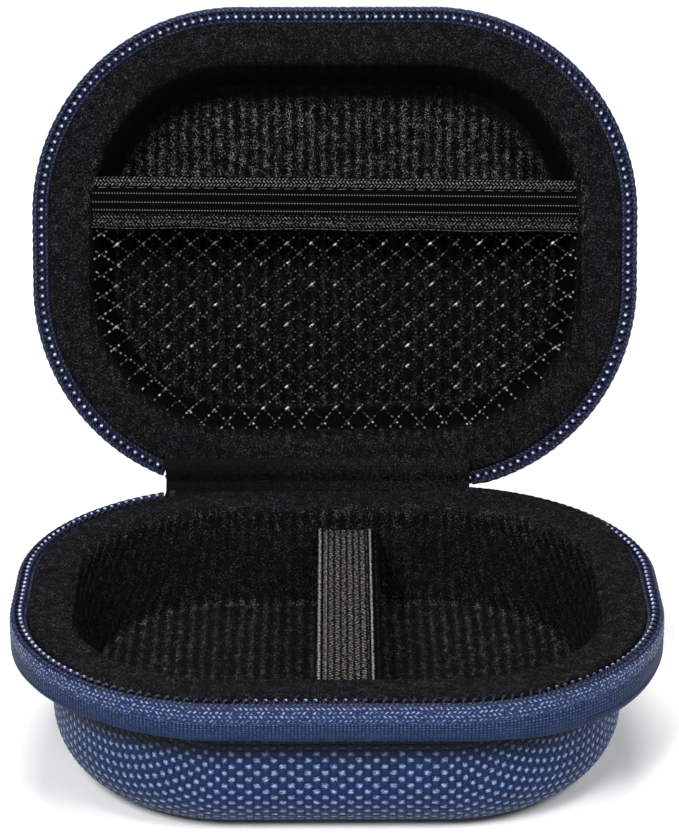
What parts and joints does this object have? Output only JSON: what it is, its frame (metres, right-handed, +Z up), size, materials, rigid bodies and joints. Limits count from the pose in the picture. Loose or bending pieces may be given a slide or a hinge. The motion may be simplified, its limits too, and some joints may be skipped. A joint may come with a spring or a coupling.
{
  "type": "wireless earbuds case",
  "caption": "Zip-up moulded hard case for wireless earbuds, standing open, with an elastic strap across the base and a mesh pocket in the lid.",
  "frame": {"origin": "centre of the base's flat bottom", "axes": "+X to the right along the hinge, +Y from the front to the hinge, +Z up"},
  "size_m": [0.1, 0.1166, 0.1024],
  "materials": {
    "cover_nylon": "matte",
    "foam": "matte",
    "pad_foam_rubber": "matte",
    "lining_knit": "matte",
    "binding_ribbon": "satin",
    "zip_tape": "matte",
    "zip_coil": "gloss",
    "thread": "satin",
    "strap_elastic": "matte",
    "band_elastic": "matte",
    "mesh_net": "satin",
    "hinge_outer": "matte",
    "hinge_inner": "satin",
    "slider_paint": "satin",
    "zip_stop": "satin"
  },
  "bodies": {
    "base": {"base_cover": "cover_nylon", "base_foam_shell": "foam", "base_floor_pad": "pad_foam_rubber", "base_lining": "lining_knit", "base_edge_binding": "binding_ribbon", "base_zip_tape": "zip_tape", "base_zip_coil": "zip_coil", "base_seam_thread": "thread", "base_elastic_strap": "strap_elastic", "hinge_outer_strip_base": "hinge_outer", "zip_closed_end_stop": "zip_stop", "zip_tape_tail": "zip_tape", "zip_tail_stop": "zip_stop"},
    "lid": {"lid_cover": "cover_nylon", "lid_foam_shell": "foam", "lid_lining": "lining_knit", "lid_edge_binding": "binding_ribbon", "lid_zip_tape": "zip_tape", "lid_zip_coil": "zip_coil", "lid_seam_thread": "thread", "pocket_mesh": "mesh_net", "pocket_elastic_band": "band_elastic", "pocket_band_stitches": "thread", "hinge_outer_strip_lid": "hinge_outer", "hinge_inner_strip_lid": "hinge_inner"},
    "zip_slider": {"slider_body": "slider_paint", "slider_bridge": "slider_paint"},
    "zip_pull": {"pull_tab": "slider_paint"}
  },
  "joints": [
    {"name": "lid_hinge", "type": "hinge", "parent": "base", "child": "lid", "pos_m": [0, 0.0388, 0.027], "axis": [-1, 0, 0], "range_deg": [-106, 0]},
    {"name": "slider_travel", "type": "slide", "parent": "base", "child": "zip_slider", "axis": [0, 0, 1], "range_m": [0, 0.003]},
    {"name": "pull_swing", "type": "hinge", "parent": "zip_slider", "child": "zip_pull", "pos_m": [0.0205, 0.04465, 0.0176], "axis": [1, 0, 0], "range_deg": [0, 100]}
  ]
}
